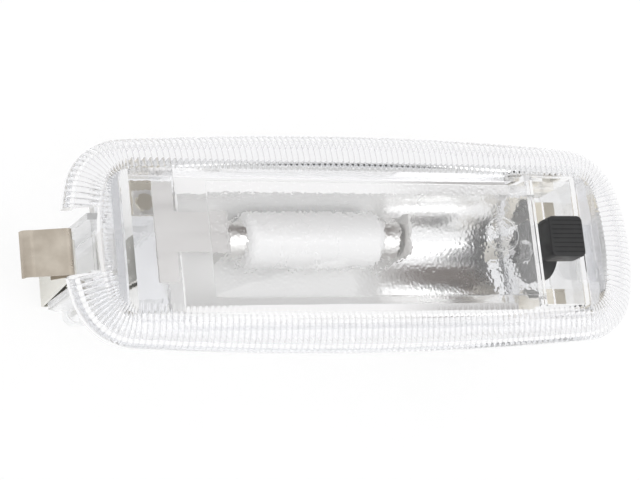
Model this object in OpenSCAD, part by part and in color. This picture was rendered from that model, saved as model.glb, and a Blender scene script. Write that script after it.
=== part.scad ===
// Roof lamp for a car: a clear fluted lens on a milky tub, with a festoon bulb in a
// polished trough, a three-way rocker at one end and a spring clip at the other.
// The lens looks up, the tub stands on its flat back, and X runs towards the switch.

/* [Lens] */
// Length of the flange over its bowed ends
flange_l = 125; // [118:0.5:135]
// Width of the flange at its middle
flange_w = 44.3; // [43:0.1:50]
// Radius of the four corners
corner_r = 12.5; // [11:0.5:15]
// How far each end bows out
end_bow = 6; // [4:0.5:8]
// How far each long side bows out
side_bow = 2.7; // [1.5:0.1:4]
// Width of the fluted band along the sides
band_side = 6.8; // [6:0.1:7.2]
// Width of the fluted band at the ends
band_end = 8; // [6.5:0.1:8.5]
// Height of the lens face above the flange's seat
lens_h = 4.6; // [4:0.1:6]
// Height of the raised pane above the lens face
pane_h = 0.3; // [0.2:0.05:0.6]
// Wall of the lens
lens_t = 1.5; // [1.2:0.1:2]
// Height of the plain rim
rim_h = 0.9; // [0.6:0.1:1.4]
// Flutes in a quarter of the rim
flutes_quarter = 62; // [40:1:66]
// Depth of one flute
flute_d = 0.3; // [0.15:0.05:0.5]
// Width of the notch over the clip
notch_w = 13; // [12:0.5:15]
// Depth of the notch from the rim
notch_d = 7; // [5:0.5:8]
// Radius of the small ring on the pane
mark_r = 3.7; // [2:0.1:5]

/* [Tub] */
// Depth of the tub behind the seat
body_depth = 34.5; // [34:0.5:40]
// Wall of the tub
wall = 1.5; // [1.2:0.1:2]
// Half width of the collar under the lens
collar_hw = 17; // [16.6:0.1:17.4]
// Inner depth of the collar
collar_d = 10; // [9:0.5:12]
// Half width of the back behind the trough
back_hw = 13.5; // [13.2:0.1:14]
// Half width of the lowest part of the tub
low_hw = 11; // [10:0.1:12]
// Height of the ledge that carries the trough, below the seat
ledge_z = 4.4; // [4:0.1:5]

/* [Switch] */
// Distance of the rocker from the collar's end
switch_in = 13.1; // [12.6:0.1:14.5]
// Length of the window across the lamp
window_l = 27.3; // [24:0.1:28]
// Width of the window along the lamp
window_w = 10.1; // [9.6:0.1:11]
// Depth of the rocker's axis below the seat
axis_z = 5.4; // [5:0.1:6]
// Radius of the rocker's hub
hub_r = 6; // [5:0.1:6.2]
// Thickness of the rocker's hub
hub_t = 4.15; // [3:0.05:4.5]
// Length of the cap across the lamp
cap_l = 8.6; // [7:0.1:10]
// Width of the cap along the lamp
cap_w = 8; // [6:0.1:8.6]
// Height of the cap
cap_h = 4.3; // [3:0.1:6]
// Grooves across the cap
cap_grooves = 8; // [5:1:10]
// Diameter of the rocker's pin
pin_d = 2; // [1.5:0.1:2.4]

/* [Bulb] */
// Length of the bulb over its caps
bulb_l = 41; // [39:0.5:42]
// Diameter of the glass
bulb_d = 10.5; // [9:0.1:11]
// Place of the bulb's middle along the lamp
bulb_x = -7; // [-9:0.5:-5]
// Place of the bulb's axis across the lamp
bulb_y = 3; // [2:0.1:3.4]
// Depth of the bulb's axis below the seat
bulb_z = 8; // [7.6:0.1:8.4]
// Diameter of the bulb's metal caps
ferrule_d = 7; // [6:0.1:7.4]

/* [Clip and contacts] */
// Width of the clip's strip
clip_w = 9.1; // [7:0.1:9.2]
// Thickness of the clip's strip
clip_t = 0.5; // [0.3:0.05:0.6]
// Length of the clip's outer leaf
clip_rise = 24.2; // [23:0.1:25]
// Lean of the outer leaf
clip_lean = 4.6; // [4.2:0.1:5.5]
// Length of the clip's catch plate
catch_l = 6.1; // [5:0.1:8]
// Slope of the catch plate
catch_slope = 16; // [10:0.5:20]
// Radius of the moulded bar that the clip's end curls round
bar_r = 0.5; // [0.4:0.05:0.55]
// Width of a blade terminal
blade_w = 4.8; // [3.5:0.1:4.9]
// Thickness of a blade terminal
blade_t = 0.8; // [0.5:0.1:0.8]
// Length of a blade terminal behind the collar
blade_l = 11; // [8:0.5:14]
// Thickness of the contact leaves
leaf_t = 0.4; // [0.3:0.05:0.5]

/* [Hidden] */
$fn = 64;

slack = 0.1;
side_gap = 0.2;
move_gap = 0.35;

// Outline of the flange: an end arc, a corner arc and a side arc in each quarter
half_l = flange_l / 2;
half_w = flange_w / 2;
switch_x = half_l - 6 - switch_in;
end_r = (half_w * half_w + end_bow * end_bow) / (2 * end_bow);
side_r = (half_l * half_l + side_bow * side_bow) / (2 * side_bow);
end_c = half_l - end_r;
side_c = half_w - side_r;
centre_gap = norm([end_c, side_c]);
along = [end_c, -side_c] / centre_gap;
across = [along.y, -along.x];
side_reach = side_r - corner_r;
end_reach = end_r - corner_r;
reach = (side_reach * side_reach - end_reach * end_reach + centre_gap * centre_gap) / (2 * centre_gap);
corner_c = [0, side_c] + reach * along + sqrt(side_reach * side_reach - reach * reach) * across;
end_turn = atan2(corner_c.y, corner_c.x - end_c);
side_turn = atan2(corner_c.y - side_c, corner_c.x);
rad = PI / 180;
end_len = end_r * end_turn * rad;
corner_len = corner_r * (side_turn - end_turn) * rad;
side_len = side_r * (90 - side_turn) * rad;
quarter_len = end_len + corner_len + side_len;

// Section of the lens
pane_x0 = 28.5 - half_l;
pane_x1 = switch_x - window_w / 2 - 1.2;
pane_hw = 11.6;
groove_in = 1.9;
groove_out = 4.4;
groove_top = 2;
notch_x = -half_l + notch_d;
tick_pitch = 1.2;
skirt_t = 1.1;
skirt_d = 3.4;
mark_x = switch_x - 13.3;
mark_y = 1.2;

// Collar and back of the tub
collar_x0 = 10.5 - half_l;
collar_x1 = half_l - 6;
collar_r = 5;
back_x0 = 14.5 - half_l;
back_x1 = switch_x + 4.6;
back_r = 4;
back_z = 18.5;
low_x0 = 24.5 - half_l;
snout_x0 = 11.1 - half_l;
snout_hw = 8.2;
floor_t = 2;
shelf_t = 1.5;
well_x0 = 24.9 - half_l;
well_x1 = switch_x - 6;
well_hw = back_hw - wall;
in_x0 = collar_x0 + wall;
in_x1 = collar_x1 - wall;
in_hw = collar_hw - wall;

// Reflector
sheet_t = 0.4;
trough_r = 11.5;
trough_z = ledge_z;
lip_w = 3;
slot_w = 2.4;

// Rocker
window_x0 = switch_x - window_w / 2 + 0.45;
window_x1 = window_x0 + window_w;
carrier_t = 1.1;
carrier_top = lens_h - lens_t - 0.3;
hub_x0 = switch_x - hub_t / 2;
cap_z = 3.9;
boss_r = 2.3;
rotor_t = 0.5;
rotor_w = 2.4;
rotor_span = 100;
groove_w = 0.45;
groove_depth = 0.35;

// Bulb and its holders
bulb_wall = 0.6;
neck_r = ferrule_d / 2 - 0.45;
neck_l = 2.2;
ferrule_l = 5;
tip_l = 1.6;
tip_r = 1.1;
glass_end = bulb_l / 2 - ferrule_l - 0.6;
neck_end = bulb_l / 2 - tip_l - 1;
lead_r = 0.25;
holder_t = 0.5;
holder_w = 8;
holder_hole_r = 1.9;
cone_r = holder_hole_r + 0.4;
seat_x = tip_l - 0.4 / (cone_r - tip_r) * (tip_l - 0.3) - 0.02;
holder_top = 2.2;
holder_bend = 0.9;
cross_x0 = well_x0 - 4.9;
cross_x1 = well_x0 - 0.8;
cross_low = 7;
foot_l = 5.6;
foot_hole = 3.4;
bulb_left = bulb_x - bulb_l / 2;
bulb_right = bulb_x + bulb_l / 2;
left_blade_x = bulb_left + seat_x - holder_t / 2;
right_blade_x = bulb_right - seat_x + holder_t / 2;
coil_half = 6;
foot_x1 = right_blade_x + 8.7;
rivet_x = foot_x1 - 3;
pedestal_z = 19;
rivet_r = 1;
rivet_head_r = 1.7;
rivet_head_t = 0.6;

// Blade terminals: places of the two switched ones and of the live one
blade_x = switch_x + 8.4;
blade_y = 9.5;
live_x = cross_x1 - foot_hole;
live_y = 10.6;
live_out = in_hw - 0.5;
leaf_w = 3.2;
leaf_rise = 5.6;
leaf_in = (hub_r + rotor_t + 0.6) * cos(28) + leaf_t;
leaf_x = switch_x - 1.6;
spring_w = 4;
spring_bend = 3;
spring_lap = 2;
spring_tip = 3;

// Clip
cheek_x0 = 5.9 - half_l;
cheek_t = 1.3;
cheek_y = clip_w / 2 + 0.4;
cheek_low = 29.5;
bar_x = cheek_x0 + 1;
bar_z = -15;
curl_r = bar_r + 0.15 + clip_t / 2;
fold_r = 0.7;
fold_x = bar_x + curl_r - fold_r;
fold_z = -32.3;
top_bend_r = 1;

function band(turn) = 1 + (band_end / band_side - 1) * pow(cos(turn), 2);

function arc_at(s) =
    s < end_len ? [end_c, 0, end_r, s / end_r / rad]
    : s < end_len + corner_len
        ? [corner_c.x, corner_c.y, corner_r, end_turn + (s - end_len) / corner_r / rad]
        : [0, side_c, side_r, side_turn + (s - end_len - corner_len) / side_r / rad];

function rim_point(s, inset, z) =
    let (a = arc_at(s), r = a[2] - inset * band(a[3]))
    [a[0] + r * cos(a[3]), a[1] + r * sin(a[3]), z];

// One ring of points round the flange; every second one sinks by the depth of a flute
function rim_ring(n, inset, z, sink = 0, lean = 0) =
    [for (k = [0 : n - 1])
        let (q = floor(4 * k / n),
             part = (4 * k / n - q) * quarter_len,
             s = q % 2 == 0 ? part : quarter_len - part,
             d = k % 2 == 1 ? sink : 0,
             p = rim_point(s, inset + d * cos(lean), z - d * sin(lean)))
        [(q == 1 || q == 2) ? -p.x : p.x, q >= 2 ? -p.y : p.y, p.z]];

function wall_faces(n, low, high) =
    [for (k = [0 : n - 1])
        let (m = (k + 1) % n)
        each [[low * n + k, high * n + k, high * n + m], [low * n + k, high * n + m, low * n + m]]];

module from_seat() {
    translate([0, 0, body_depth]) children();
}

// Closed stack of rings, lowest first
module ring_stack(rings) {
    n = len(rings[0]);
    last = len(rings) - 1;
    polyhedron(points = [for (r = rings) each r],
               faces = concat([[for (k = [0 : n - 1]) k]],
                              [for (i = [0 : last - 1]) each wall_faces(n, i, i + 1)],
                              [[for (k = [n - 1 : -1 : 0]) last * n + k]]),
               convexity = 8);
}

// Closed loop of rings, round its own section
module ring_loop(rings) {
    n = len(rings[0]);
    count = len(rings);
    polyhedron(points = [for (r = rings) each r],
               faces = [for (i = [0 : count - 1]) each wall_faces(n, i, (i + 1) % count)],
               convexity = 8);
}

module round_box(x0, x1, hw, r, z0, z1) {
    translate([0, 0, z0]) linear_extrude(z1 - z0) {
        translate([x0 + r, -hw]) square([x1 - x0 - 2 * r, 2 * hw]);
        translate([x0, -hw + r]) square([x1 - x0, 2 * hw - 2 * r]);
        for (x = [x0 + r, x1 - r], y = [-hw + r, hw - r])
            translate([x, y]) circle(r);
    }
}

module box(x0, x1, y0, y1, z0, z1) {
    translate([x0, y0, z0]) cube([x1 - x0, y1 - y0, z1 - z0]);
}

module rod_x(r, x0, x1) {
    translate([x0, 0, 0]) rotate([0, 90, 0]) cylinder(h = x1 - x0, r = r);
}

module rod_y(r, y0, y1) {
    translate([0, y1, 0]) rotate([90, 0, 0]) cylinder(h = y1 - y0, r = r);
}

// Middle line of a bent strip, as [x, z, heading]: each step is a length, a turn and its radius
function bend_line(steps, p = [0, 0], h = 0, i = 0) =
    i == len(steps) ? []
    : let (turn = steps[i][1], r = steps[i][2],
           side = turn > 0 ? 1 : -1,
           n = max(1, ceil(abs(turn) / 9)),
           q = p + steps[i][0] * [cos(h), sin(h)],
           c = q + side * r * [-sin(h), cos(h)],
           arc = turn == 0 ? [] : [for (k = [1 : n])
               let (a = h + turn * k / n)
               [c.x + side * r * sin(a), c.y - side * r * cos(a), a]],
           end = turn == 0 ? [q.x, q.y, h] : arc[n - 1])
      concat([[p.x, p.y, h], [q.x, q.y, h]], arc,
             bend_line(steps, [end.x, end.y], end.z, i + 1));

function tidy_line(line) =
    [for (k = [0 : len(line) - 1])
        if (k == 0 || norm([line[k].x - line[k - 1].x, line[k].y - line[k - 1].y]) > 0.001) line[k]];

function reversed(line) =
    [for (k = [len(line) - 1 : -1 : 0]) [line[k].x, line[k].y, line[k].z + 180]];

function beside(p, gap) = [p.x - gap * sin(p.z), p.y + gap * cos(p.z)];

// Strip of sheet that follows a middle line in the XZ plane
module strip_along(line, t, w) {
    clean = tidy_line(line);
    back = reversed(clean);
    rotate([90, 0, 0]) translate([0, 0, -w / 2]) linear_extrude(w)
        polygon(concat([for (p = clean) beside(p, t / 2)], [for (p = back) beside(p, t / 2)]));
}

module bent_strip(steps, t, w) {
    strip_along(bend_line(steps), t, w);
}

module fluted_dome() {
    n = 8 * flutes_quarter;
    rise = lens_h - rim_h;
    ring_stack(concat(
        [rim_ring(n, 0, 0), rim_ring(n, 0, rim_h)],
        [for (t = [0.28, 0.62, 0.94])
            rim_ring(n, t * band_side, rim_h + rise * sqrt(1 - pow(1 - t, 2)), flute_d, 90 * t)],
        [rim_ring(n, band_side, lens_h)]));
}

module rim_groove() {
    n = 96;
    ring_loop([rim_ring(n, groove_in, -1), rim_ring(n, groove_in, rim_h),
               rim_ring(n, (groove_in + groove_out) / 2, groove_top),
               rim_ring(n, groove_out, groove_top), rim_ring(n, groove_out, -1)]);
}

module lens_cover() {
    color([0.9, 0.93, 0.95, 0.5]) from_seat() difference() {
        union() {
            difference() {
                fluted_dome();
                rim_groove();
            }
            round_box(pane_x0, pane_x1, pane_hw, 3, lens_h - 0.4, lens_h + pane_h);
            round_box(in_x0 + side_gap, in_x1 - side_gap, in_hw - side_gap, collar_r - wall,
                      -skirt_d, 0.5);
            translate([mark_x, mark_y, lens_h]) cylinder(h = pane_h + 0.25, r = mark_r);
        }
        round_box(in_x0 + side_gap + skirt_t, in_x1 - side_gap - skirt_t,
                  in_hw - side_gap - skirt_t, collar_r - wall - skirt_t, -skirt_d - 1, lens_h - lens_t);
        translate([mark_x, mark_y, lens_h + pane_h]) cylinder(h = 1, r = mark_r - 0.35);
        box(window_x0, window_x1, -window_l / 2, window_l / 2, 0, lens_h + 1);
        difference() {
            box(-half_l - 1, notch_x, -notch_w / 2, notch_w / 2, -1, lens_h + 1);
            for (k = [-4 : 4])
                box(notch_x - 0.3, notch_x, k * tick_pitch - 0.3, k * tick_pitch + 0.3, 0.6, 3);
        }
    }
}

module cheek() {
    rotate([90, 0, 0]) translate([0, 0, -cheek_t / 2]) linear_extrude(cheek_t)
        polygon([[collar_x0 + 1, -0.4], [cheek_x0, -0.4], [cheek_x0, 2 - cheek_low],
                 [cheek_x0 + 2, -cheek_low], [collar_x0 + 1, -cheek_low]]);
}

module base_housing() {
    color([0.93, 0.94, 0.95, 0.8]) from_seat() difference() {
        union() {
            round_box(collar_x0, collar_x1, collar_hw, collar_r, -collar_d - shelf_t, 0);
            round_box(back_x0, back_x1, back_hw, back_r, -back_z, -collar_d);
            round_box(low_x0, back_x1, low_hw, back_r, -body_depth, 1 - back_z);
            round_box(snout_x0, low_x0 + 2 * back_r, snout_hw, 2, -body_depth, -collar_d);
            for (s = [-1, 1])
                translate([0, s * (cheek_y + cheek_t / 2), 0]) cheek();
            translate([bar_x, 0, bar_z]) rod_y(bar_r, -cheek_y - 0.5, cheek_y + 0.5);
            box(collar_x1 - 1, collar_x1 + 3.5, -6, 6, -8.5, -6.5);
        }
        round_box(in_x0, in_x1, in_hw, collar_r - wall, -ledge_z, 1);
        intersection() {
            round_box(in_x0, in_x1, in_hw, collar_r - wall, -collar_d, 0);
            union() {
                box(in_x0 - 1, well_x0, -collar_hw, collar_hw, -collar_d, 0);
                box(well_x1, in_x1 + 1, -collar_hw, collar_hw, -collar_d, 0);
            }
        }
        box(well_x0, well_x1, -well_hw, well_hw, -collar_d - shelf_t - 1, 0);
        box(back_x0 + wall, back_x1 - wall, -well_hw, well_hw, wall - back_z, -collar_d - shelf_t);
        box(snout_x0 + wall, low_x0 + wall + 1, wall - snout_hw, snout_hw - wall,
            -body_depth + floor_t, -collar_d - shelf_t);
        difference() {
            box(low_x0 + wall, back_x1 - wall, wall - low_hw, low_hw - wall,
                -body_depth + floor_t, wall - back_z + 1);
            box(right_blade_x + 1, foot_x1 + 1, bulb_y - holder_w / 2, bulb_y + holder_w / 2,
                -body_depth, -pedestal_z);
        }
        box(hub_x0 - move_gap, hub_x0 + hub_t + move_gap, -hub_r - 0.8, hub_r + 0.8, -collar_d - 4, 0);
        for (s = [-1, 1])
            box(blade_x - slack, blade_x + blade_t + slack, s * blade_y - blade_w / 2 - slack,
                s * blade_y + blade_w / 2 + slack, -collar_d - 3, 0);
        box(live_x - blade_w / 2 - slack, live_x + blade_w / 2 + slack, live_out - blade_t - slack,
            live_out + slack, -collar_d - 3, 0);
        for (p = rivet_places)
            translate([p.x, p.y, -collar_d - 3]) cylinder(h = 4, r = rivet_r + 0.05);
        translate([rivet_x, bulb_y, -body_depth + floor_t])
            cylinder(h = body_depth - floor_t - pedestal_z + 1, r = rivet_r + 0.05);
    }
}

// Trough with a lip along each side and an end wall at the bulb's end; open towards the switch
module reflector() {
    color([0.86, 0.86, 0.84]) from_seat() difference() {
        union() {
            intersection() {
                translate([0, 0, -trough_z]) rod_x(trough_r, well_x0 + 0.4, well_x1 - 0.4);
                box(well_x0, well_x1, -trough_r, trough_r, -trough_z - trough_r, -trough_z);
            }
            box(well_x0 + 0.4, well_x1 - 0.4, -trough_r - lip_w, trough_r + lip_w,
                -trough_z, -trough_z + sheet_t);
        }
        translate([0, 0, -trough_z])
            rod_x(trough_r - sheet_t, well_x0 + 0.4 + sheet_t, well_x1 + 1);
        box(right_blade_x - slot_w / 2, right_blade_x + slot_w / 2, bulb_y - holder_w / 2 - slack,
            bulb_y + holder_w / 2 + slack, -trough_z - trough_r - 1, -trough_z - 6);
    }
}

// Half of the glass tube's outline, for a given inset of its wall
function glass_line(inset) =
    let (r = bulb_d / 2 - inset, b = glass_end - inset, shoulder = bulb_d / 2 - neck_r - 0.2 - inset)
    [for (a = [0 : 15 : 90]) [b - shoulder + shoulder * sin(a), r - shoulder + shoulder * cos(a)]];

module glass_solid(inset, end_x) {
    line = glass_line(inset);
    left = [for (k = [len(line) - 1 : -1 : 0]) [-line[k].x, line[k].y]];
    rotate([0, 90, 0]) rotate_extrude()
        polygon([for (p = concat([[-end_x, 0], [-end_x, neck_r - inset]],
                                 [[left[0].x, neck_r - inset]], left, line,
                                 [[line[len(line) - 1].x, neck_r - inset]],
                                 [[end_x, neck_r - inset], [end_x, 0]])) [p.y, p.x]]);
}

module bulb_glass() {
    color([0.92, 0.95, 0.96, 0.4]) from_seat() translate([bulb_x, bulb_y, -bulb_z]) difference() {
        glass_solid(0, neck_end);
        glass_solid(bulb_wall, neck_end - neck_l);
        rod_x(lead_r + 0.02, -neck_end - 1, neck_end + 1);
    }
}

// Metal cap, pointing to +X from the bulb's middle
module ferrule() {
    x1 = bulb_l / 2 - tip_l;
    rotate([0, 90, 0]) difference() {
        rotate_extrude()
            polygon([[0, glass_end], [ferrule_d / 2, glass_end], [ferrule_d / 2, x1 - 0.4],
                     [ferrule_d / 2 - 0.4, x1], [cone_r, x1], [tip_r, bulb_l / 2 - 0.3],
                     [tip_r - 0.3, bulb_l / 2], [0, bulb_l / 2]]);
        translate([0, 0, glass_end - 1]) cylinder(h = neck_end - glass_end + 1, r = neck_r + 0.05);
    }
}

module bulb_cap_left() {
    color([0.75, 0.74, 0.7]) from_seat() translate([bulb_x, bulb_y, -bulb_z]) rotate([0, 0, 180]) ferrule();
}

module bulb_cap_right() {
    color([0.75, 0.74, 0.7]) from_seat() translate([bulb_x, bulb_y, -bulb_z]) ferrule();
}

module bulb_filament() {
    color([0.5, 0.5, 0.5]) from_seat() translate([bulb_x, bulb_y, -bulb_z]) {
        rod_x(lead_r, -neck_end, neck_end);
        rod_x(lead_r * 1.8, -coil_half, coil_half);
    }
}

// Left holder: foot on the live blade, cross bar, bridge over the trough's end and a hanging blade
module bulb_holder_left() {
    start_x = cross_x1 - 1;
    drop = bulb_z + holder_hole_r + 1.2 - holder_top - holder_t / 2 - holder_bend;
    foot_z = -collar_d + blade_t;
    color([0.7, 0.69, 0.66]) from_seat() difference() {
        union() {
            box(cross_x1 - foot_l, cross_x1, live_y - blade_w / 2, live_y + blade_w / 2,
                foot_z, foot_z + holder_t);
            box(cross_x1 - holder_t, cross_x1, live_y - blade_w / 2, live_y + blade_w / 2,
                foot_z, -holder_top);
            box(cross_x0, cross_x1, -cross_low, live_y + blade_w / 2, -holder_top - holder_t, -holder_top);
            translate([start_x, bulb_y, -holder_top - holder_t / 2])
                bent_strip([[left_blade_x - start_x - holder_bend, -90, holder_bend], [drop, 0, 0]],
                           holder_t, holder_w);
        }
        translate([0, bulb_y, -bulb_z]) rod_x(holder_hole_r, bulb_left - 2, bulb_left + 3);
        translate([live_x, live_y, -collar_d]) cylinder(h = 4, r = rivet_r + 0.05);
    }
}

// Right holder: foot on the pedestal and a standing blade through the trough's slot
module bulb_holder_right() {
    color([0.7, 0.69, 0.66]) from_seat() difference() {
        translate([foot_x1, bulb_y, -pedestal_z + holder_t / 2]) rotate([0, 0, 180])
            bent_strip([[foot_x1 - right_blade_x - holder_bend, 90, holder_bend],
                        [pedestal_z - holder_top - holder_t - holder_bend, 0, 0]], holder_t, holder_w);
        translate([0, bulb_y, -bulb_z]) rod_x(holder_hole_r, bulb_right - 3, bulb_right + 2);
        translate([rivet_x, bulb_y, -pedestal_z - 1]) cylinder(h = 4, r = rivet_r + 0.05);
    }
}

module rivet(grip) {
    translate([0, 0, -grip]) cylinder(h = grip, r = rivet_r);
    cylinder(h = rivet_head_t, r = rivet_head_r);
}

module holder_rivet() {
    color([0.72, 0.58, 0.34]) from_seat()
        translate([rivet_x, bulb_y, -pedestal_z + holder_t + leaf_t]) rivet(6);
}

module cap_block() {
    hull() {
        translate([-cap_w / 2, -cap_l / 2, 0]) round_plate(cap_w, cap_l, 1, 0.2);
        translate([-cap_w / 2 + 0.2, -cap_l / 2 + 0.2, cap_h - 0.2])
            round_plate(cap_w - 0.4, cap_l - 0.4, 0.9, 0.2);
    }
}

module round_plate(w, l, r, h) {
    for (x = [r, w - r], y = [r, l - r])
        translate([x, y, 0]) cylinder(h = h, r = r, $fn = 32);
}

// Rocker: ribbed cap, neck and round hub on the pin
module switch_lever() {
    color([0.08, 0.08, 0.09]) from_seat() difference() {
        union() {
            translate([switch_x, 0, cap_z]) difference() {
                cap_block();
                for (k = [0 : cap_grooves - 1])
                    translate([-cap_w, (k - (cap_grooves - 1) / 2) * (cap_l - 1.4) / (cap_grooves - 1)
                               - groove_w / 2, cap_h - groove_depth])
                        cube([2 * cap_w, groove_w, 1]);
            }
            box(hub_x0, hub_x0 + hub_t, -2.6, 2.6, -axis_z, cap_z + 0.5);
            translate([0, 0, -axis_z]) rod_x(hub_r, hub_x0, hub_x0 + hub_t);
        }
        translate([0, 0, -axis_z]) rod_x(pin_d / 2 + 0.05, hub_x0 - 1, hub_x0 + hub_t + 1);
    }
}

module switch_pin() {
    color([0.7, 0.7, 0.72]) from_seat() translate([0, 0, -axis_z])
        rod_x(pin_d / 2, window_x0 - carrier_t, window_x1 + carrier_t);
}

// White frame round the window's well, with the two bosses that hold the pin
module switch_carrier() {
    y = window_l / 2;
    color([0.95, 0.95, 0.94]) from_seat() difference() {
        union() {
            difference() {
                box(window_x0 - carrier_t, window_x1 + carrier_t, -y - 0.4, y + 0.4,
                    -collar_d, carrier_top);
                box(window_x0, window_x1, -y + 0.6, y - 0.6, -collar_d - 1, carrier_top + 1);
            }
            translate([0, 0, -axis_z]) rod_x(boss_r, window_x0 - 0.5, hub_x0 - side_gap);
            translate([0, 0, -axis_z]) rod_x(boss_r, hub_x0 + hub_t + side_gap, window_x1 + 0.5);
        }
        translate([0, 0, -axis_z]) rod_x(pin_d / 2, window_x0 - 5, window_x1 + 5);
        for (s = [-1, 1])
            box(window_x1 - 1, window_x1 + carrier_t + 1, s * blade_y - blade_w / 2 - slack,
                s * blade_y + blade_w / 2 + slack, -collar_d - 1, -collar_d + blade_t + slack);
    }
}

// Curved plate under the hub that bridges the leaves
module rotor_contact() {
    color([0.78, 0.62, 0.36]) from_seat() translate([switch_x, 0, -axis_z]) rotate([0, 90, 0])
        rotate([0, 0, -rotor_span / 2]) rotate_extrude(angle = rotor_span)
            translate([hub_r, -rotor_w / 2]) square([rotor_t, rotor_w]);
}

module feed_spring() {
    x0 = rivet_x - spring_lap;
    x1 = switch_x + 1;
    rise_x = x1 - spring_tip;
    z0 = -pedestal_z + holder_t + leaf_t / 2;
    z1 = -axis_z - hub_r - rotor_t - move_gap - leaf_t / 2;
    slope = atan2(z1 - z0, rise_x - well_x1);
    bend_run = spring_bend * tan(slope / 2);
    run = norm([rise_x - well_x1, z1 - z0]) - 2 * bend_run;
    color([0.78, 0.62, 0.36]) from_seat() translate([x0, bulb_y, z0]) difference() {
        bent_strip([[well_x1 - x0 - bend_run, slope, spring_bend], [run, -slope, spring_bend],
                    [spring_tip - bend_run, 0, 0]], leaf_t, spring_w);
        translate([spring_lap, 0, -2]) cylinder(h = 4, r = rivet_r + 0.05);
    }
}

// Leaf that stands beside the hub; side is +1 for the door circuit and -1 for the ground
module contact_leaf(side) {
    y0 = side * (blade_y + 1.6);
    color([0.78, 0.62, 0.36]) from_seat() difference() {
        translate([leaf_x, y0, -collar_d + blade_t + leaf_t / 2]) rotate([0, 0, -side * 90])
            bent_strip([[abs(y0) - leaf_in - 0.5, 130, 0.5], [leaf_rise, 0, 0]], leaf_t, leaf_w);
        translate([leaf_x, side * (blade_y + 0.4), -collar_d]) cylinder(h = 4, r = rivet_r + 0.05);
    }
}

module contact_leaf_ground() {
    contact_leaf(-1);
}

module contact_leaf_door() {
    contact_leaf(1);
}

rivet_places = [[leaf_x, blade_y + 0.4], [leaf_x, -blade_y - 0.4], [live_x, live_y]];

module contact_rivets() {
    color([0.72, 0.58, 0.34]) from_seat()
        for (p = rivet_places)
            translate([p.x, p.y, -collar_d + blade_t + (p.x < 0 ? holder_t : leaf_t)])
                rivet(blade_t + shelf_t + leaf_t);
}

// Blade terminal: a plate on the shelf from a place, and a blade turned down behind the collar
module terminal(place, turn, reach) {
    color([0.76, 0.6, 0.34]) from_seat() difference() {
        translate([place.x, place.y, -collar_d + blade_t / 2]) rotate([0, 0, turn])
            union() {
                translate([0, -blade_w / 2, -blade_t / 2]) cube([reach, blade_w, blade_t]);
                translate([reach - blade_t, -blade_w / 2, -blade_l - shelf_t])
                    cube([blade_t, blade_w, blade_l + shelf_t + blade_t / 2]);
            }
        for (p = rivet_places)
            translate([p.x, p.y, -collar_d - 1]) cylinder(h = 4, r = rivet_r + 0.05);
    }
}

module terminal_live() {
    terminal([live_x, live_y - blade_w / 2], 90, live_out - live_y + blade_w / 2);
}

module terminal_ground() {
    terminal([leaf_x - leaf_w / 2, -blade_y], 0, blade_x + blade_t - leaf_x + leaf_w / 2);
}

module terminal_door() {
    terminal([leaf_x - leaf_w / 2, blade_y], 0, blade_x + blade_t - leaf_x + leaf_w / 2);
}

// Spring clip: a leg that curls round the moulded bar, a fold at its foot, and a leaf with the catch
module spring_clip() {
    inner = bend_line([[bar_z - fold_z, 230, curl_r], [0.3, 0, 0]], [fold_r, 0], 90);
    outer = bend_line([[0.2, clip_lean, 20], [clip_rise, 90 + catch_slope - clip_lean, top_bend_r],
                       [catch_l, -22, 0.6], [0.3, 22, 0.6], [0.9, 62, 0.6], [0.7, 0, 0]],
                      [-fold_r, 0], 90);
    fold = [for (a = [-90 : 10 : 90]) [fold_r * sin(a), -fold_r * cos(a), a]];
    leaf_end = outer[4];
    color([0.71, 0.67, 0.61]) from_seat() translate([fold_x, 0, fold_z]) {
        strip_along(concat(reversed(outer), fold, inner), clip_t, clip_w);
        translate([leaf_end.x, 0, leaf_end.y - 0.6])
            strip_along(bend_line([[4.4, 0, 0]], [0, 0], 220), clip_t * 0.8, clip_w);
    }
}

lens_cover();
base_housing();
reflector();
bulb_glass();
bulb_cap_left();
bulb_cap_right();
bulb_filament();
bulb_holder_left();
bulb_holder_right();
holder_rivet();
switch_lever();
switch_pin();
switch_carrier();
rotor_contact();
feed_spring();
contact_leaf_ground();
contact_leaf_door();
contact_rivets();
terminal_live();
terminal_ground();
terminal_door();
spring_clip();
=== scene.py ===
from math import atan2, ceil, cos, floor, hypot, pi, radians, sin, sqrt

import bmesh
import bpy
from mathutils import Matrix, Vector
from mathutils.kdtree import KDTree


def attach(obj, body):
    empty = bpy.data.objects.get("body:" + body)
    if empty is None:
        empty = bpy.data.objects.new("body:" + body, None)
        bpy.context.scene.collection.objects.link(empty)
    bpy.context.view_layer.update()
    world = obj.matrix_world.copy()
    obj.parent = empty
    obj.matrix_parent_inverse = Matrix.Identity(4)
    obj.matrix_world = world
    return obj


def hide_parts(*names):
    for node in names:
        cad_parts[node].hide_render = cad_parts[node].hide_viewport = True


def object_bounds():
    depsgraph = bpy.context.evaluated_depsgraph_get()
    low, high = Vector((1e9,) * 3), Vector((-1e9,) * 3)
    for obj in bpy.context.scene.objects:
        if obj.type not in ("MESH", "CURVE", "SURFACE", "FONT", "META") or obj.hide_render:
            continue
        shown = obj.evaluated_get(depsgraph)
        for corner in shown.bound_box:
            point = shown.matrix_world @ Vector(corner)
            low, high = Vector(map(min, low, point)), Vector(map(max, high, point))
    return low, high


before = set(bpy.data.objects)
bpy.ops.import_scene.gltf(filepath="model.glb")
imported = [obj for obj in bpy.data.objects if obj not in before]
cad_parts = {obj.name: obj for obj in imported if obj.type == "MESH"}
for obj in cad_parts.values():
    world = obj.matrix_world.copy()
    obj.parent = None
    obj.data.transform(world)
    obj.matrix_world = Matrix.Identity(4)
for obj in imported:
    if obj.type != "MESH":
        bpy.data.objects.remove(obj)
cad_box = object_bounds()


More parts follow.
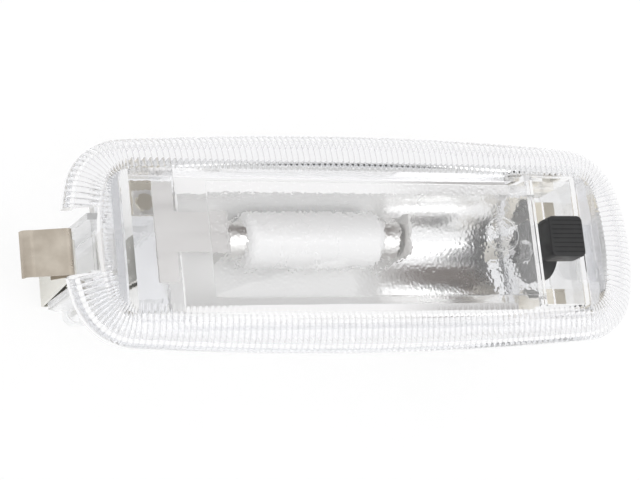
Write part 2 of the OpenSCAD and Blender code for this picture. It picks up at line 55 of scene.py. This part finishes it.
# The camera looks down on the lens from the clip end, a little from the front.
# It stands 0.44 m away, as the vanishing of the lamp's edges in the photograph says.
camera_place = (-0.19328, -0.09778, 0.41576)
camera_turn = (15.875, -24.326, -6.468)
sensor_width = 36.0
focal_length = 123.75

camera_data = bpy.data.cameras.new("camera")
camera_data.sensor_width = sensor_width
camera_data.lens = focal_length
camera = bpy.data.objects.new("camera", camera_data)
camera.location = camera_place
camera.rotation_euler = [radians(turn) for turn in camera_turn]
bpy.context.collection.objects.link(camera)
bpy.context.scene.camera = camera


# Tub: one milky moulding with cheeks for the clip, injection moulded and slightly hazy.
# Its walls let light through, with faint flow lines and a soft gloss.
MM = 0.001
milky_tone = (0.935, 0.94, 0.952)
milky_roughness = 0.08
milky_clearness = 0.9
milky_haze = (0.975, 1.0)


def new_material(name):
    """New material and its shader."""
    material = bpy.data.materials.new(name)
    material.use_nodes = True
    return material, material.node_tree.nodes["Principled BSDF"]


def add_node(owner, kind, **values):
    """Node of a material or the world, with its inputs and settings."""
    node = owner.node_tree.nodes.new(kind)
    for key, value in values.items():
        if key in node.inputs:
            node.inputs[key].default_value = value
        else:
            setattr(node, key, value)
    return node


def feed(owner, value, socket):
    """Joins an output to a socket, or writes a number or a colour into it."""
    if isinstance(value, bpy.types.NodeSocket):
        owner.node_tree.links.new(value, socket)
    else:
        socket.default_value = (*value, 1.0) if isinstance(value, tuple) else value


def calculate(owner, operation, *values, clamp=False):
    """Result of one sum, product or comparison."""
    node = add_node(owner, "ShaderNodeMath", operation=operation, use_clamp=clamp)
    for value, socket in zip(values, node.inputs):
        feed(owner, value, socket)
    return node.outputs[0]


def mix(owner, factor, first, second):
    """Colour between two others, by a factor."""
    node = add_node(owner, "ShaderNodeMix", data_type="RGBA")
    first_colour, second_colour, mixed_colour = node.inputs[6], node.inputs[7], node.outputs[2]
    feed(owner, factor, node.inputs["Factor"])
    feed(owner, first, first_colour)
    feed(owner, second, second_colour)
    return mixed_colour


def blend_surface(material, factor, first, second):
    """Sends a blend of two shaders to the material's surface."""
    node = add_node(material, "ShaderNodeMixShader")
    for value, socket in zip((factor, first, second), node.inputs):
        feed(material, value, socket)
    feed(material, node.outputs[0], material.node_tree.nodes["Material Output"].inputs["Surface"])


def noise(material, scale, detail=3.0, stretch=(1.0, 1.0, 1.0)):
    """Noise on object coordinates, stretched along an axis where the finish has a grain."""
    where = add_node(material, "ShaderNodeTexCoord")
    mapping = add_node(material, "ShaderNodeMapping", Scale=stretch)
    texture = add_node(material, "ShaderNodeTexNoise", Scale=scale, Detail=detail)
    feed(material, where.outputs["Object"], mapping.inputs["Vector"])
    feed(material, mapping.outputs["Vector"], texture.inputs["Vector"])
    return texture.outputs["Fac"]


def ramp(owner, source, start, end, low, high, shape="LINEAR"):
    """Maps a pattern or a place between start and end to values between low and high."""
    node = add_node(owner, "ShaderNodeMapRange", interpolation_type=shape,
                    **{"From Min": start, "From Max": end, "To Min": low, "To Max": high})
    feed(owner, source, node.inputs["Value"])
    return node.outputs["Result"]


def spread(material, pattern, low, high):
    """Maps the middle of a noise pattern to a range of values."""
    noise_low, noise_high = 0.3, 0.7
    return ramp(material, pattern, noise_low, noise_high, low, high)


def tint(material, pattern, dark, light):
    """Colour that runs between two tones with a pattern."""
    return mix(material, spread(material, pattern, 0.0, 1.0), dark, light)


def bump(material, shader, pattern, strength, depth):
    """Fine relief from a pattern."""
    node = add_node(material, "ShaderNodeBump", Strength=strength, Distance=depth)
    feed(material, pattern, node.inputs["Height"])
    feed(material, node.outputs["Normal"], shader.inputs["Normal"])


def clear_plastic(name, tone, roughness, clearness, ior=1.49, haze=(0.9, 1.0)):
    """Clear moulding, with faint clouds in its colour and gloss and a slightly wavy skin."""
    cloud_scale, wave_scale = 90.0, 260.0
    wave_strength, wave_depth = 0.12, 0.2 * MM
    smooth_share, dull_share = 0.7, 1.4
    material, shader = new_material(name)
    shader.inputs["Transmission Weight"].default_value = clearness
    shader.inputs["IOR"].default_value = ior
    cloud = noise(material, cloud_scale)
    hazy, clean = (tuple(c * share for c in tone) for share in haze)
    feed(material, tint(material, cloud, hazy, clean), shader.inputs["Base Color"])
    feed(material, spread(material, cloud, roughness * smooth_share, roughness * dull_share),
         shader.inputs["Roughness"])
    bump(material, shader, noise(material, wave_scale), wave_strength, wave_depth)
    return material


def let_lamps_through(material):
    """Lets the lamp and the sky shine straight through a clear wall onto what is behind it."""
    ray = add_node(material, "ShaderNodeLightPath").outputs
    mirrored = calculate(material, "SUBTRACT", ray["Is Glossy Ray"], ray["Is Transmission Ray"],
                         clamp=True)
    lighting = calculate(material, "MAXIMUM", ray["Is Shadow Ray"], ray["Is Diffuse Ray"])
    straight = calculate(material, "MAXIMUM", lighting, mirrored)
    clear = add_node(material, "ShaderNodeBsdfTransparent")
    shader = material.node_tree.nodes["Principled BSDF"]
    blend_surface(material, straight, shader.outputs[0], clear.outputs[0])


def dress(node, material):
    """Gives a CAD node its finish."""
    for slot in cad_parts[node].material_slots:
        slot.material = material


milky = clear_plastic("milky_plastic", milky_tone, milky_roughness, milky_clearness,
                      haze=milky_haze)
let_lamps_through(milky)
dress("base_housing", milky)


# Reflector: a polished sheet trough behind the pane, rolled and left bright.
# It is painted dull and white beside the bulb, painted light standing in for the bright reflection
# there, and mirrors the dark side of the room at its open end.
sheet_dark, sheet_light = (0.985, 0.985, 0.98), (0.995, 0.995, 0.99)
sheet_roughness = 0.22
along_the_lamp = (0.05, 1.0, 1.0)
# Beside the bulb the sheet is made dull and white as painted light; towards its open end it is a
# mirror.
painted_white_to, mirror_from = 5.0 * MM, 24.0 * MM
painted_white_metal, mirror_metal = 0.1, 0.92


def metal(name, dark, light, roughness, grain=(1.0, 1.0, 1.0), scale=300.0, depth=0.05 * MM,
          wear=45.0):
    """Metal with a mottled tone, and with rolling or drawing lines in its gloss and relief."""
    detail = 4.0
    smooth_share, dull_share = 0.75, 1.3
    line_strength = 0.25
    material, shader = new_material(name)
    shader.inputs["Metallic"].default_value = 1.0
    mottle = noise(material, wear, detail)
    lines = noise(material, scale, detail, grain)
    feed(material, tint(material, mottle, dark, light), shader.inputs["Base Color"])
    feed(material, spread(material, lines, roughness * smooth_share, roughness * dull_share),
         shader.inputs["Roughness"])
    bump(material, shader, lines, line_strength, depth)
    return material


def axis_of(material, axis):
    """Place along one axis of the lamp."""
    where = add_node(material, "ShaderNodeTexCoord")
    place = add_node(material, "ShaderNodeSeparateXYZ")
    feed(material, where.outputs["Object"], place.inputs[0])
    return place.outputs[axis]


polished = metal("polished_sheet", sheet_dark, sheet_light, sheet_roughness, along_the_lamp)
# Painted light: the metal fades to a dull white beside the bulb, standing in for the bright
# reflection there.
metallic_with_painted_white = ramp(polished, axis_of(polished, "X"), painted_white_to, mirror_from, painted_white_metal, mirror_metal,
             "SMOOTHSTEP")
feed(polished, metallic_with_painted_white, polished.node_tree.nodes["Principled BSDF"].inputs["Metallic"])
dress("reflector", polished)


# Festoon bulb: a frosted blown tube between two drawn caps, with a coiled wire inside.
# It is pressed between the two holders, and hardly shows in the bright trough.
glass_tone = (0.99, 0.99, 0.985)
glass_roughness, glass_clearness, glass_ior, glass_haze = 0.3, 0.15, 1.5, (0.99, 1.0)
cap_dark, cap_light, cap_roughness = (0.82, 0.81, 0.79), (0.92, 0.915, 0.90), 0.42
wire_dark, wire_light, wire_roughness = (0.30, 0.30, 0.30), (0.45, 0.44, 0.43), 0.4
round_the_lamp = (1.0, 0.1, 0.1)

dress("bulb_glass", clear_plastic("bulb_glass", glass_tone, glass_roughness, glass_clearness,
                                  glass_ior, glass_haze))
cap_metal = metal("bulb_cap", cap_dark, cap_light, cap_roughness, round_the_lamp)
dress("bulb_cap_left", cap_metal)
dress("bulb_cap_right", cap_metal)
dress("bulb_filament", metal("tungsten", wire_dark, wire_light, wire_roughness))


# Holders: tinned spring strip, stamped and bent; the left one bridges the trough's end.
# The right one stands through a slot in the trough on its rivet.
strip_dark, strip_light, strip_roughness = (0.74, 0.73, 0.72), (0.86, 0.855, 0.845), 0.45
strip_grain = (0.1, 1.0, 1.0)

tinned = metal("tinned_strip", strip_dark, strip_light, strip_roughness, strip_grain)
dress("bulb_holder_left", tinned)
dress("bulb_holder_right", tinned)


# Brass and bronze pieces: rivets, blades, leaves and the feed spring, stamped from strip.
# They are thinly tinned, so that they look pale through the clear walls.
brass_dark, brass_light, brass_roughness = (0.56, 0.52, 0.44), (0.80, 0.77, 0.70), 0.32
bronze_dark, bronze_light, bronze_roughness = (0.58, 0.55, 0.50), (0.80, 0.78, 0.74), 0.30
across_the_lamp = (1.0, 0.1, 1.0)
tin_wear = 120.0

brass = metal("brass", brass_dark, brass_light, brass_roughness, strip_grain, wear=tin_wear)
bronze = metal("contact_bronze", bronze_dark, bronze_light, bronze_roughness, across_the_lamp,
               wear=tin_wear)
for piece in ("holder_rivet", "contact_rivets", "terminal_live", "terminal_ground",
              "terminal_door"):
    dress(piece, brass)
for piece in ("rotor_contact", "feed_spring", "contact_leaf_ground", "contact_leaf_door"):
    dress(piece, bronze)


# Switch frame and pin: a clear to white moulded frame in the window, and a drawn steel pin.
# The frame stands under the lens, and the pin is pressed through its two cheeks.
frame_tone, frame_roughness, frame_clearness = (0.99, 0.99, 0.99), 0.04, 0.97
pin_dark, pin_light, pin_roughness = (0.5, 0.5, 0.5), (0.65, 0.65, 0.66), 0.25

white_plastic = clear_plastic("white_plastic", frame_tone, frame_roughness, frame_clearness)
let_lamps_through(white_plastic)
dress("switch_carrier", white_plastic)
dress("switch_pin", metal("steel_pin", pin_dark, pin_light, pin_roughness))


# Lens: one clear moulding. A fluted dome runs round a flat pane that is pebbled underneath.
# It sits on the tub's rim by its skirt, with a window for the rocker and a notch over the clip.
seat_z = 34.5 * MM
half_length = 62.5 * MM
half_width = 22.15 * MM
corner_r = 12.5 * MM
end_bow = 6.0 * MM
side_bow = 2.7 * MM
band_side = 6.8 * MM
band_end = 8.0 * MM
lens_h = 4.6 * MM
lens_t = 1.5 * MM
rim_h = 0.9 * MM
pane_h = 0.3 * MM
flutes = 248
steps_per_flute = 8
flute_depth = 0.30 * MM

# Arcs of a quarter of the flange's edge: half an end, a corner and half a side
end_r = (half_width ** 2 + end_bow ** 2) / (2 * end_bow)
side_r = (half_length ** 2 + side_bow ** 2) / (2 * side_bow)
end_c = half_length - end_r
side_c = half_width - side_r
centre_gap = hypot(end_c, side_c)
along = (end_c / centre_gap, -side_c / centre_gap)
side_reach = side_r - corner_r
end_reach = end_r - corner_r
reach = (side_reach ** 2 - end_reach ** 2 + centre_gap ** 2) / (2 * centre_gap)
swing = sqrt(side_reach ** 2 - reach ** 2)
corner_x = reach * along[0] + swing * along[1]
corner_y = side_c + reach * along[1] - swing * along[0]
end_turn = atan2(corner_y, corner_x - end_c)
side_turn = atan2(corner_y - side_c, corner_x)
end_len = end_r * end_turn
corner_len = corner_r * (side_turn - end_turn)
quarter_len = end_len + corner_len + side_r * (pi / 2 - side_turn)


def rim_point(share, inset, z):
    """Point at a share of the way round the flange, inset from its edge, at a height."""
    quarter = int(floor(share * 4)) % 4
    part = share * 4 - floor(share * 4)
    s = (part if quarter % 2 == 0 else 1 - part) * quarter_len
    if s < end_len:
        cx, cy, r, turn = end_c, 0.0, end_r, s / end_r
    elif s < end_len + corner_len:
        cx, cy, r, turn = corner_x, corner_y, corner_r, end_turn + (s - end_len) / corner_r
    else:
        cx, cy, r, turn = 0.0, side_c, side_r, side_turn + (s - end_len - corner_len) / side_r
    r -= inset * (1 + (band_end / band_side - 1) * cos(turn) ** 2)
    x, y = cx + r * cos(turn), cy + r * sin(turn)
    return (-x if quarter in (1, 2) else x, -y if quarter in (2, 3) else y, seat_z + z)


tiny = 0.000001 * MM


def only(obj):
    """Selects one object alone and makes it active."""
    bpy.ops.object.select_all(action="DESELECT")
    obj.select_set(True)
    bpy.context.view_layer.objects.active = obj


def loft(name, count, rings, closed=False):
    """Surface through rings of points: a grid laid along them, welded at its seam and capped."""
    weld = 0.0001 * MM
    bpy.ops.object.select_all(action="DESELECT")
    bpy.ops.mesh.primitive_grid_add(x_subdivisions=count, y_subdivisions=len(rings) - 1, size=1.0)
    obj = bpy.context.active_object
    obj.name = name
    points = [ring(k / count % 1.0, k) for ring in rings for k in range(count + 1)]
    obj.data.vertices.foreach_set("co", [c for p in points for c in p])
    bpy.ops.object.mode_set(mode="EDIT")
    bpy.ops.mesh.select_all(action="SELECT")
    bpy.ops.mesh.remove_doubles(threshold=weld)
    if not closed:
        bpy.ops.mesh.select_all(action="DESELECT")
        bpy.ops.mesh.select_mode(type="EDGE")
        bpy.ops.mesh.select_non_manifold()
        bpy.ops.mesh.fill_holes(sides=0)
    bpy.ops.mesh.select_all(action="SELECT")
    bpy.ops.mesh.normals_make_consistent(inside=False)
    bpy.ops.object.mode_set(mode="OBJECT")
    return obj


def cut(obj, other, operation="DIFFERENCE"):
    """Joins or cuts one closed shape with another, which is then deleted."""
    only(obj)
    modifier = obj.modifiers.new("cut", "BOOLEAN")
    modifier.operation = operation
    modifier.solver = "MANIFOLD"
    modifier.object = other
    bpy.ops.object.modifier_apply(modifier=modifier.name)
    bpy.data.objects.remove(other, do_unlink=True)


def round_edges(obj, rounding, segments, chosen):
    """Rounds the edges of which the two ends pass a test."""
    bpy.ops.object.mode_set(mode="EDIT")
    bpy.ops.mesh.select_all(action="DESELECT")
    mesh = bmesh.from_edit_mesh(obj.data)
    for edge in mesh.edges:
        edge.select = chosen(*(v.co for v in edge.verts))
    bmesh.update_edit_mesh(obj.data)
    bpy.ops.mesh.bevel(offset=rounding, segments=segments, affect="EDGES")
    bpy.ops.object.mode_set(mode="OBJECT")


def block(name, low, high, rounding=0.0, segments=3, upright=False):
    """Box between two corners, with its edges rounded; upright rounds only the standing ones."""
    bpy.ops.object.select_all(action="DESELECT")
    middle = [(a + b) / 2 for a, b in zip(low, high)]
    size = [b - a for a, b in zip(low, high)]
    bpy.ops.mesh.primitive_cube_add(size=1.0, location=middle, scale=size)
    obj = bpy.context.active_object
    obj.name = name
    bpy.ops.object.transform_apply(location=True, rotation=True, scale=True)
    if rounding > 0:
        round_edges(obj, rounding, segments, lambda a, b: not upright or abs(a.z - b.z) > tiny)
    return obj


def flute_ring(t, z, share_of_depth):
    """Ring of the fluted dome: t runs from the rim to the pane; the valleys are sharp."""
    def ring(share, k):
        ridge = abs(sin(pi * (k % steps_per_flute) / steps_per_flute))
        sink = flute_depth * share_of_depth * (1 - ridge)
        lean = t * pi / 2
        return rim_point(share, t * band_side + sink * cos(lean), z - sink * sin(lean))
    return ring


def dome_z(t):
    """Height of the dome over the seat at a share of the band's width."""
    return rim_h + (lens_h - rim_h) * sqrt(max(0.0, 1 - (1 - t) ** 2))


def plain_ring(inset, z):
    """Smooth ring at an inset and a height."""
    def ring(share, k):
        return rim_point(share, inset, z)
    return ring


# Steps over the dome: a share of the band's width and the share of the flutes' depth there
dome_steps = [(0.0, 0.0), (0.02, 0.3), (0.05, 0.8), (0.1, 1.0), (0.18, 1.0), (0.27, 1.0),
              (0.37, 1.0), (0.48, 1.0), (0.6, 1.0), (0.72, 1.0), (0.84, 1.0), (0.93, 1.0),
              (0.97, 0.7), (1.0, 0.0)]
# Steps below and above the dome: an inset from the edge and a height over the seat
rim_edge = 0.12 * MM
rim_steps = [(rim_edge, 0.0), (0.0, rim_edge), (0.0, 0.8 * rim_h)]
face_steps = [(8.5 * MM, lens_h + 0.08 * MM), (10.0 * MM, lens_h + 0.12 * MM)]
lens = loft("lens", flutes * steps_per_flute,
            [plain_ring(inset, z) for inset, z in rim_steps]
            + [flute_ring(t, dome_z(t), depth) for t, depth in dome_steps]
            + [plain_ring(inset, z) for inset, z in face_steps])

# Under the flutes the band is a smooth shell of even wall, open below as far as the skirt
shell_t = 1.5 * MM
groove_in = 1.9 * MM
groove_out = 6.3 * MM
groove_low = -1.0 * MM
steps_across, steps_round = 12, 512


def under_z(inset):
    """Height of the shell's underside at an inset from the edge."""
    across = (band_side - inset) / (band_side - shell_t)
    return rim_h + (lens_h - rim_h - shell_t) * sqrt(max(0.0, 1 - across ** 2))


groove_steps = [groove_in + (groove_out - groove_in) * k / steps_across
                for k in range(steps_across + 1)]
groove = loft("groove", steps_round,
              [plain_ring(groove_in, groove_low)]
              + [plain_ring(inset, under_z(inset)) for inset in groove_steps]
              + [plain_ring(groove_out, groove_low), plain_ring(groove_in, groove_low)],
              closed=True)
cut(lens, groove)

# The raised pane, the skirt that stands in the tub and the small ring on the pane
face_z = seat_z + lens_h
pane_low, pane_z = face_z - 1.0 * MM, face_z + pane_h
pane_x0, pane_x1, pane_hw, pane_edge_r = -34.0 * MM, 37.15 * MM, 11.6 * MM, 0.25 * MM
cut(lens, block("pane", (pane_x0, -pane_hw, pane_low), (pane_x1, pane_hw, pane_z), pane_edge_r),
    "UNION")
skirt_low, skirt_top = seat_z - 3.4 * MM, seat_z + 0.5 * MM
skirt_x0, skirt_x1, skirt_hw, skirt_corner_r = -50.3 * MM, 54.8 * MM, 15.3 * MM, 3.5 * MM
cut(lens, block("skirt", (skirt_x0, -skirt_hw, skirt_low), (skirt_x1, skirt_hw, skirt_top),
                skirt_corner_r, 8, True), "UNION")
ring_place, ring_r, ring_bead_r = (30.1 * MM, 1.2 * MM, pane_z), 3.55 * MM, 0.22 * MM
bpy.ops.object.select_all(action="DESELECT")
bpy.ops.mesh.primitive_torus_add(major_segments=96, minor_segments=12, major_radius=ring_r,
                                 minor_radius=ring_bead_r, location=ring_place)
raised_ring = bpy.context.active_object
bpy.ops.object.transform_apply(location=True, rotation=True, scale=True)
cut(lens, raised_ring, "UNION")

# The pebbles are on the underside: a plug with a rough top is cut out of the moulding
plug_x0, plug_x1, plug_hw, plug_depth = -49.2 * MM, 53.7 * MM, 14.2 * MM, 8.0 * MM
plug_l, plug_w = plug_x1 - plug_x0, 2 * plug_hw
cell = 0.22 * MM
pebble_size, pebble_h = 0.4 * MM, 0.1 * MM
strong_x0, strong_x1, faint_share = -34.0 * MM, 37.0 * MM, 0.35
pebbled_hw, fading_w, plain_end = 12.0 * MM, 0.6 * MM, 0.5 * MM
bpy.ops.object.select_all(action="DESELECT")
bpy.ops.mesh.primitive_grid_add(x_subdivisions=ceil(plug_l / cell),
                                y_subdivisions=ceil(plug_w / cell), size=1.0)
plug = bpy.context.active_object
plug.name = "plug"
plug.scale = (plug_l, plug_w, 1.0)
plug.location = ((plug_x0 + plug_x1) / 2, 0.0, face_z - lens_t)
bpy.ops.object.transform_apply(location=True, rotation=True, scale=True)
pebbled = plug.vertex_groups.new(name="pebbled")
for vertex in plug.data.vertices:
    x, y = vertex.co.x, abs(vertex.co.y)
    inner = min(x - plug_x0, plug_x1 - x) > plain_end
    fading = min(1.0, max(0.0, (pebbled_hw - y) / fading_w))
    share = 1.0 if strong_x0 < x < strong_x1 else faint_share
    pebbled.add([vertex.index], share * fading if inner else 0.0, "REPLACE")
pebbles = bpy.data.textures.new("pebbles", "CLOUDS")
pebbles.noise_scale = pebble_size
pebbles.noise_depth = 0
pebbles.noise_basis = "BLENDER_ORIGINAL"
relief = plug.modifiers.new("pebbles", "DISPLACE")
relief.texture = pebbles
relief.texture_coords = "LOCAL"
relief.vertex_group = "pebbled"
relief.direction = "Z"
relief.strength = pebble_h
relief.mid_level = 0.5
bpy.ops.object.modifier_apply(modifier=relief.name)
bpy.ops.object.mode_set(mode="EDIT")
bpy.ops.mesh.select_all(action="DESELECT")
bpy.ops.mesh.select_mode(type="EDGE")
bpy.ops.mesh.select_non_manifold()
bpy.ops.mesh.extrude_region_move(TRANSFORM_OT_translate={"value": (0, 0, -plug_depth)})
bpy.ops.mesh.edge_face_add()
bpy.ops.mesh.select_all(action="SELECT")
bpy.ops.mesh.normals_make_consistent(inside=False)
bpy.ops.object.mode_set(mode="OBJECT")
cut(lens, plug)

# The rocker's window, and the notch over the clip with fine teeth on its inner face
over_z, notch_low = seat_z + 8.0 * MM, seat_z - 5.0 * MM
window_x0, window_x1, window_hw, window_corner_r = 38.8 * MM, 48.9 * MM, 13.65 * MM, 0.4 * MM
cut(lens, block("window", (window_x0, -window_hw, seat_z), (window_x1, window_hw, over_z),
                window_corner_r, upright=True))
notch_x0, notch_x1, notch_hw, notch_corner_r = -64.0 * MM, -55.5 * MM, 6.5 * MM, 0.3 * MM
notch = block("notch", (notch_x0, -notch_hw, notch_low), (notch_x1, notch_hw, over_z),
              notch_corner_r, upright=True)
teeth = 9
tooth_pitch, tooth_hw = 1.2 * MM, 0.3 * MM
tooth_x0, tooth_x1 = notch_x1 - 0.3 * MM, notch_x1 + 1.5 * MM
tooth_low, tooth_high = seat_z + 0.6 * MM, seat_z + 3.0 * MM
for k in range(teeth):
    tooth_y = (k - (teeth - 1) / 2) * tooth_pitch
    cut(notch, block("tooth", (tooth_x0, tooth_y - tooth_hw, tooth_low),
                     (tooth_x1, tooth_y + tooth_hw, tooth_high)))
cut(lens, notch)
lens_crease = radians(32)
only(lens)
bpy.ops.object.shade_smooth_by_angle(angle=lens_crease)

# Every valley between two flutes is marked and given a darker colour: painted shade in the
# creases, because they look darker than the flutes do
painted_valley_shade_tone, valley_reach = (0.5, 0.5, 0.52), 0.02 * MM
fluted_steps = [(t, depth) for t, depth in dome_steps if depth > 0.5]
valleys = KDTree(flutes * len(fluted_steps))
for t, depth in fluted_steps:
    ring = flute_ring(t, dome_z(t), depth)
    for k in range(flutes):
        valleys.insert(ring(k / flutes, 0), k)
valleys.balance()
valley_shade_mask = lens.data.attributes.new("valley", "FLOAT", "POINT")
for vertex in lens.data.vertices:
    gap = valleys.find(vertex.co)[2]
    valley_shade_mask.data[vertex.index].value = 1.0 if gap < valley_reach else 0.0

lens_tone, lens_roughness, lens_ior, lens_haze = (0.955, 0.955, 0.966), 0.03, 1.47, (0.99, 1.0)
clear_lens = clear_plastic("clear_lens", lens_tone, lens_roughness, 1.0, lens_ior, lens_haze)
lens_colour = clear_lens.node_tree.nodes["Principled BSDF"].inputs["Base Color"]
# Painted shade: the marked valleys are mixed towards a darker tone.
mark = add_node(clear_lens, "ShaderNodeAttribute", attribute_name="valley")
plain_colour = lens_colour.links[0].from_socket
feed(clear_lens, mix(clear_lens, mark.outputs["Fac"], plain_colour, painted_valley_shade_tone), lens_colour)
let_lamps_through(clear_lens)
lens.data.materials.clear()
lens.data.materials.append(clear_lens)
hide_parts("lens_cover")
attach(lens, "lamp")


# Rocker: one black moulding, a cap with rounded edges and fine ribs on a neck and a round hub.
# It turns on the pin and carries the contact plate under its hub.
switch_x = 43.4 * MM
axis_z = seat_z - 5.4 * MM
cap_low, cap_high = seat_z + 3.9 * MM, seat_z + 8.2 * MM
cap_hl, cap_hw = 4.0 * MM, 4.3 * MM
cap_corner_r, cap_edge_r = 1.1 * MM, 0.35 * MM
gaps = 8
gap_pitch, gap_hl, gap_hw = 0.94 * MM, 3.4 * MM, 0.11 * MM
gap_low, gap_top = cap_high - 0.13 * MM, cap_high + 1.0 * MM
neck_hw, neck_corner_r, neck_top = 2.6 * MM, 0.2 * MM, cap_low + 0.5 * MM
hub_r, hub_t, bore_r, bore_t = 6.0 * MM, 4.15 * MM, 1.05 * MM, 6.0 * MM
rocker_crease = radians(30)
black_dark, black_light, black_roughness = (0.006, 0.006, 0.0065), (0.011, 0.011, 0.012), 0.5


def turned(name, radius, length):
    """Round bar along the rocker's axis."""
    bpy.ops.object.select_all(action="DESELECT")
    bpy.ops.mesh.primitive_cylinder_add(vertices=96, radius=radius, depth=length,
                                        location=(switch_x, 0, axis_z), rotation=(0, pi / 2, 0))
    bar = bpy.context.active_object
    bar.name = name
    bpy.ops.object.transform_apply(location=True, rotation=True, scale=True)
    return bar


def moulded_plastic(name, dark, light, roughness):
    """Plain moulding, with a fine grain in its gloss and skin."""
    grain_scale, grain_detail, tone_scale = 500.0, 5.0, 60.0
    grain_strength, grain_depth = 0.3, 0.04 * MM
    smooth_share, dull_share = 0.8, 1.2
    material, shader = new_material(name)
    fine = noise(material, grain_scale, grain_detail)
    colour = tint(material, noise(material, tone_scale), dark, light)
    feed(material, colour, shader.inputs["Base Color"])
    feed(material, spread(material, fine, roughness * smooth_share, roughness * dull_share),
         shader.inputs["Roughness"])
    bump(material, shader, fine, grain_strength, grain_depth)
    return material


rocker = block("rocker", (switch_x - cap_hl, -cap_hw, cap_low),
               (switch_x + cap_hl, cap_hw, cap_high), cap_corner_r, 6, True)
round_edges(rocker, cap_edge_r, 4, lambda a, b: min(a.z, b.z) > cap_high - tiny)
for k in range(gaps):
    gap_y = (k - (gaps - 1) / 2) * gap_pitch
    cut(rocker, block("rib_gap", (switch_x - gap_hl, gap_y - gap_hw, gap_low),
                      (switch_x + gap_hl, gap_y + gap_hw, gap_top)))
cut(rocker, block("neck", (switch_x - hub_t / 2, -neck_hw, axis_z),
                  (switch_x + hub_t / 2, neck_hw, neck_top), neck_corner_r, upright=True), "UNION")
cut(rocker, turned("hub", hub_r, hub_t), "UNION")
cut(rocker, turned("bore", bore_r, bore_t))
only(rocker)
bpy.ops.object.shade_smooth_by_angle(angle=rocker_crease)
black = moulded_plastic("black_plastic", black_dark, black_light, black_roughness)
rocker.data.materials.clear()
rocker.data.materials.append(black)
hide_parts("switch_lever")
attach(rocker, "rocker")


# Clip: one strip of plated spring steel, folded round the tub's bar, mottled with age.
# Its catch plate has browned, and the leaf below it, which faces another way, is painted lighter:
# painted light for the light it catches.
plate_dark, plate_light, plate_roughness = (0.40, 0.35, 0.29), (0.60, 0.545, 0.47), 0.34
plate_grain_scale, plate_grain_depth, plate_wear = 420.0, 0.03 * MM, 170.0
leaf_painted_light_tone, leaf_top, plate_low = (0.86, 0.85, 0.80), 22.5 * MM, 24.5 * MM

nickel = metal("plated_spring_steel", plate_dark, plate_light, plate_roughness,
               scale=plate_grain_scale, depth=plate_grain_depth, wear=plate_wear)
clip_colour = nickel.node_tree.nodes["Principled BSDF"].inputs["Base Color"]
plate_colour = clip_colour.links[0].from_socket
# Painted light: the clip turns to a lighter tone below a height, where the leaf faces another way
# and catches more light.
painted_light_share = ramp(nickel, axis_of(nickel, "Z"), leaf_top, plate_low, 1.0, 0.0)
feed(nickel, mix(nickel, painted_light_share, plate_colour, leaf_painted_light_tone), clip_colour)
dress("spring_clip", nickel)


# Studio: a plain pale floor and sky and one soft lamp.
# One dark side of the room is mirrored in the polished trough, as in the photograph.
# Only rays that have passed through both faces of a clear wall see that side.
floor_size, floor_tone, floor_roughness, glow_share = 6.0, (0.92, 0.92, 0.92), 0.9, 0.8
white = (1.0, 1.0, 1.0)
sky_strength = 0.98
dark_tone, dark_towards = (0.06, 0.035, 0.022), (0.47, 0.70, 0.53)
dark_outer, dark_inner = radians(40), radians(26)
wall_faces, half_a_face = 2.0, 0.5
lamp_place, lamp_size, lamp_power = (0.2, -0.3, 0.9), 0.6, 2.0

bpy.ops.object.select_all(action="DESELECT")
bpy.ops.mesh.primitive_plane_add(size=floor_size, location=(0, 0, cad_box[0][2]))
floor_plane = bpy.context.active_object
floor_plane.name = "floor"
floor_material, floor_shader = new_material("floor")
feed(floor_material, floor_tone, floor_shader.inputs["Base Color"])
feed(floor_material, floor_roughness, floor_shader.inputs["Roughness"])
glow = add_node(floor_material, "ShaderNodeEmission", Color=(*white, 1.0), Strength=1.0)
ray = add_node(floor_material, "ShaderNodeLightPath").outputs
seen = calculate(floor_material, "MAXIMUM", ray["Is Camera Ray"], ray["Is Transmission Ray"])
blend_surface(floor_material, calculate(floor_material, "MULTIPLY", seen, glow_share),
              floor_shader.outputs[0], glow.outputs[0])
floor_plane.data.materials.append(floor_material)

world = bpy.data.worlds.new("studio")
bpy.context.scene.world = world
world.use_nodes = True
sky = world.node_tree.nodes["Background"]
sky.inputs["Strength"].default_value = sky_strength
towards = add_node(world, "ShaderNodeTexCoord")
dark_side = add_node(world, "ShaderNodeVectorMath", operation="DOT_PRODUCT")
dark_side.inputs[1].default_value = Vector(dark_towards).normalized()
feed(world, towards.outputs["Generated"], dark_side.inputs[0])
zone = ramp(world, dark_side.outputs["Value"], cos(dark_outer), cos(dark_inner), 0.0, 1.0,
            "SMOOTHSTEP")
ray = add_node(world, "ShaderNodeLightPath").outputs
seen = calculate(world, "MAXIMUM", ray["Is Camera Ray"], ray["Is Transmission Ray"])
mirrored = calculate(world, "SUBTRACT", 1.0, seen)
behind_wall = calculate(world, "COMPARE", ray["Transmission Depth"], wall_faces, half_a_face)
dimmed = calculate(world, "MULTIPLY", calculate(world, "MULTIPLY", mirrored, behind_wall), zone)
feed(world, mix(world, dimmed, white, dark_tone), sky.inputs["Color"])

lamp_light = bpy.data.lights.new("key_lamp", "AREA")
lamp_light.shape = "SQUARE"
lamp_light.size = lamp_size
lamp_light.energy = lamp_power
lamp = bpy.data.objects.new("key_lamp", lamp_light)
lamp.location = lamp_place
lamp_aim = Vector((0, 0, seat_z)) - Vector(lamp_place)
lamp.rotation_euler = lamp_aim.to_track_quat("-Z", "Y").to_euler()
bpy.context.collection.objects.link(lamp)
bpy.context.scene.view_settings.view_transform = "Standard"
